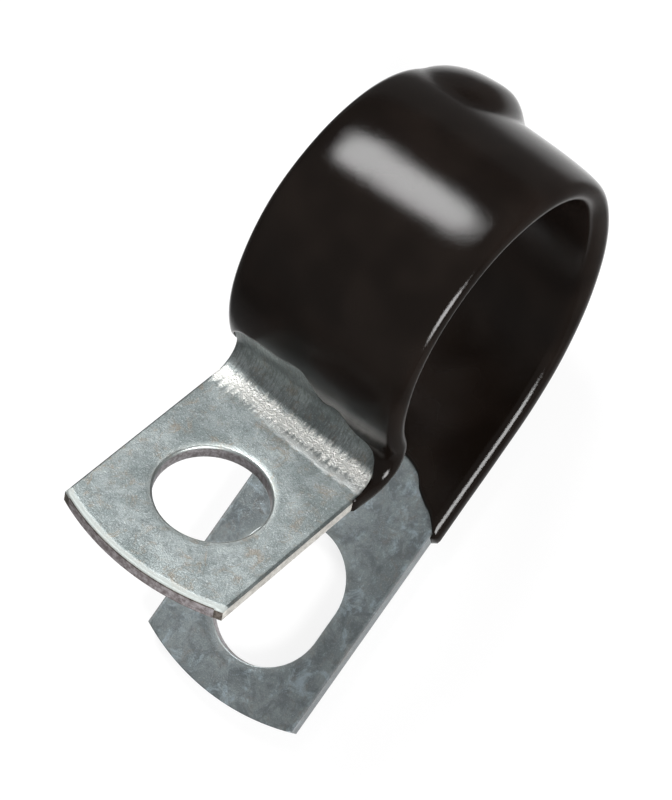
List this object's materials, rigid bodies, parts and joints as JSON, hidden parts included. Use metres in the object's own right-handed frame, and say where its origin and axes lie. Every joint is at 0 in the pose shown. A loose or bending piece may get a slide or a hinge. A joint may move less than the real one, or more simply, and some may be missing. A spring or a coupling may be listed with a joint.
{
  "type": "vinyl-coated P clip",
  "caption": "Sprung-open P-shaped cable clip: a bent zinc-plated steel strap with a vinyl-dipped loop, a round bolt hole in one tab and a slot in the other.",
  "frame": {"origin": "centre of the cable bore, midway across the strap's width", "axes": "+Y along the cable bore's axis; +Z square to the flat foot, towards the loop's crown; +X from the tabs towards the loop"},
  "size_m": [0.0514, 0.0162, 0.033],
  "materials": {
    "steel": "zinc-plated, mottled, satin",
    "vinyl": "glossy dipped vinyl"
  },
  "bodies": {
    "root": {"strap": "steel", "coating": "vinyl"}
  },
  "joints": []
}
